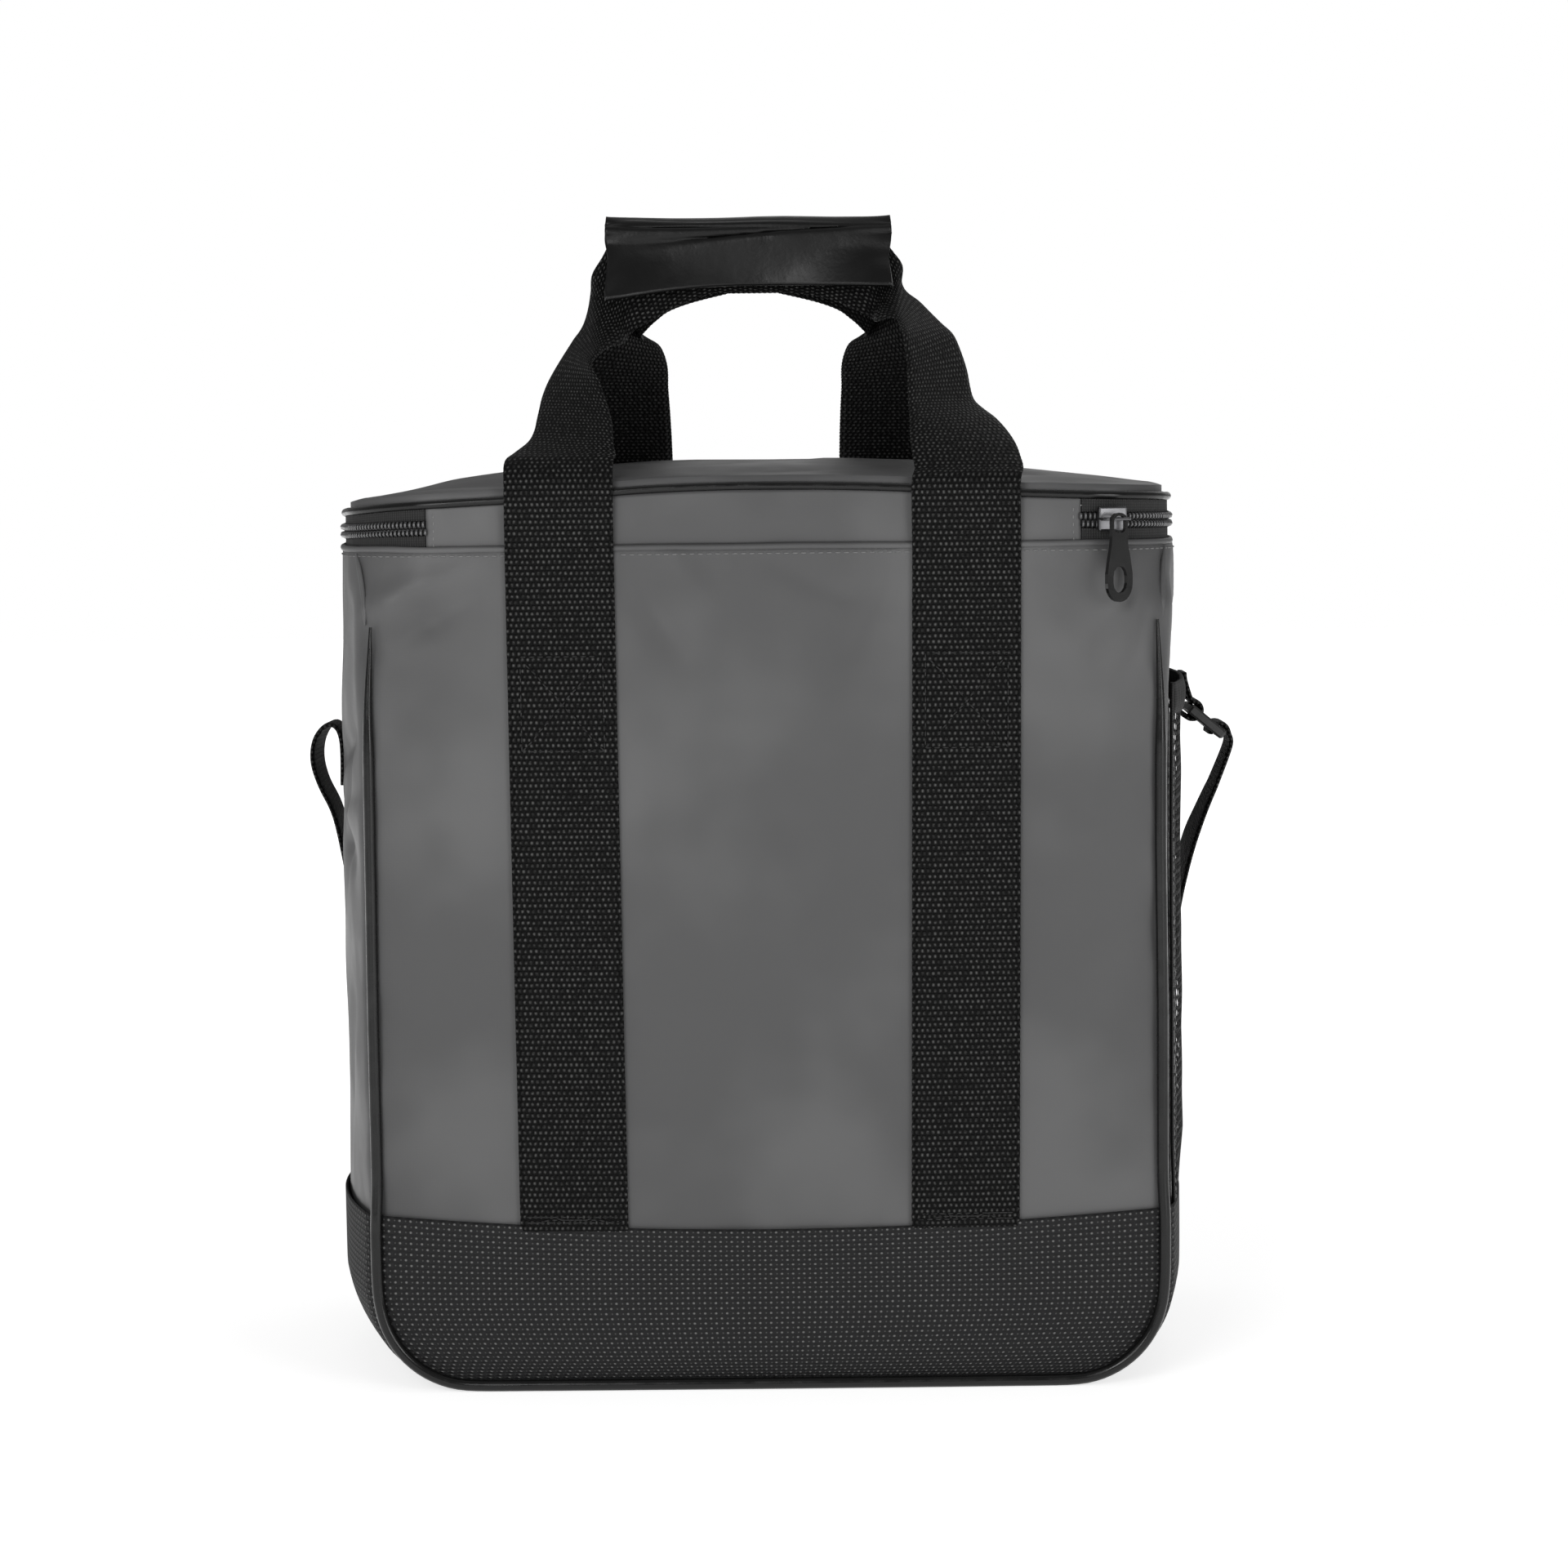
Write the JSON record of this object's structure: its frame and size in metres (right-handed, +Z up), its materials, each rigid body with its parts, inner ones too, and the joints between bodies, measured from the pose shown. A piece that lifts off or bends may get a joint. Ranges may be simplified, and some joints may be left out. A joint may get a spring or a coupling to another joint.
{
  "type": "cooler bag",
  "caption": "Box-shaped insulated soft cooler bag with hinged zipped lid, webbing handles joined in a wrapped grip, shoulder strap and side net pocket.",
  "frame": {"origin": "middle of the flat base, on the surface that the bag stands on", "axes": "+Z up through the grip, -Y out of the front panel, +X towards the net pocket"},
  "size_m": [0.3423, 0.2066, 0.415],
  "materials": {
    "grey_cloth": "coated nylon, soft satin",
    "boot_cloth": "textured weave",
    "piping_vinyl": "gloss",
    "webbing": "coarse plain weave",
    "wrap_vinyl": "semi-gloss vinyl",
    "zip_cloth": "fine tape",
    "zip_teeth": "moulded coil",
    "gunmetal": "polished gunmetal",
    "black_gloss": "gloss lacquer",
    "net_cloth": "open hexagonal net",
    "black_plastic": "moulded"
  },
  "bodies": {
    "root": {"body_shell": "grey_cloth", "base_boot": "boot_cloth", "front_piping": "piping_vinyl", "rear_piping": "piping_vinyl", "hinge_strip": "grey_cloth", "zip_tape_lower": "zip_cloth", "zip_tape_upper": "zip_cloth", "zip_chain": "zip_teeth", "zip_slider": "gunmetal", "lid_panel": "grey_cloth", "lid_piping": "piping_vinyl", "front_handle_webbing": "webbing", "rear_handle_webbing": "webbing", "grip_wrap": "wrap_vinyl", "mesh_pocket": "net_cloth", "pocket_binding": "zip_cloth", "strap_tab": "webbing", "strap_adjuster": "black_plastic", "shoulder_strap": "webbing"},
    "pull_tab": {"pull_tab": "black_gloss"}
  },
  "joints": [
    {"name": "tab_swing", "type": "hinge", "parent": "root", "child": "pull_tab", "pos_m": [0.12357, -0.09613, 0.3052], "axis": [-0.9613, -0.2756, 0], "range_deg": [0, 150]}
  ]
}
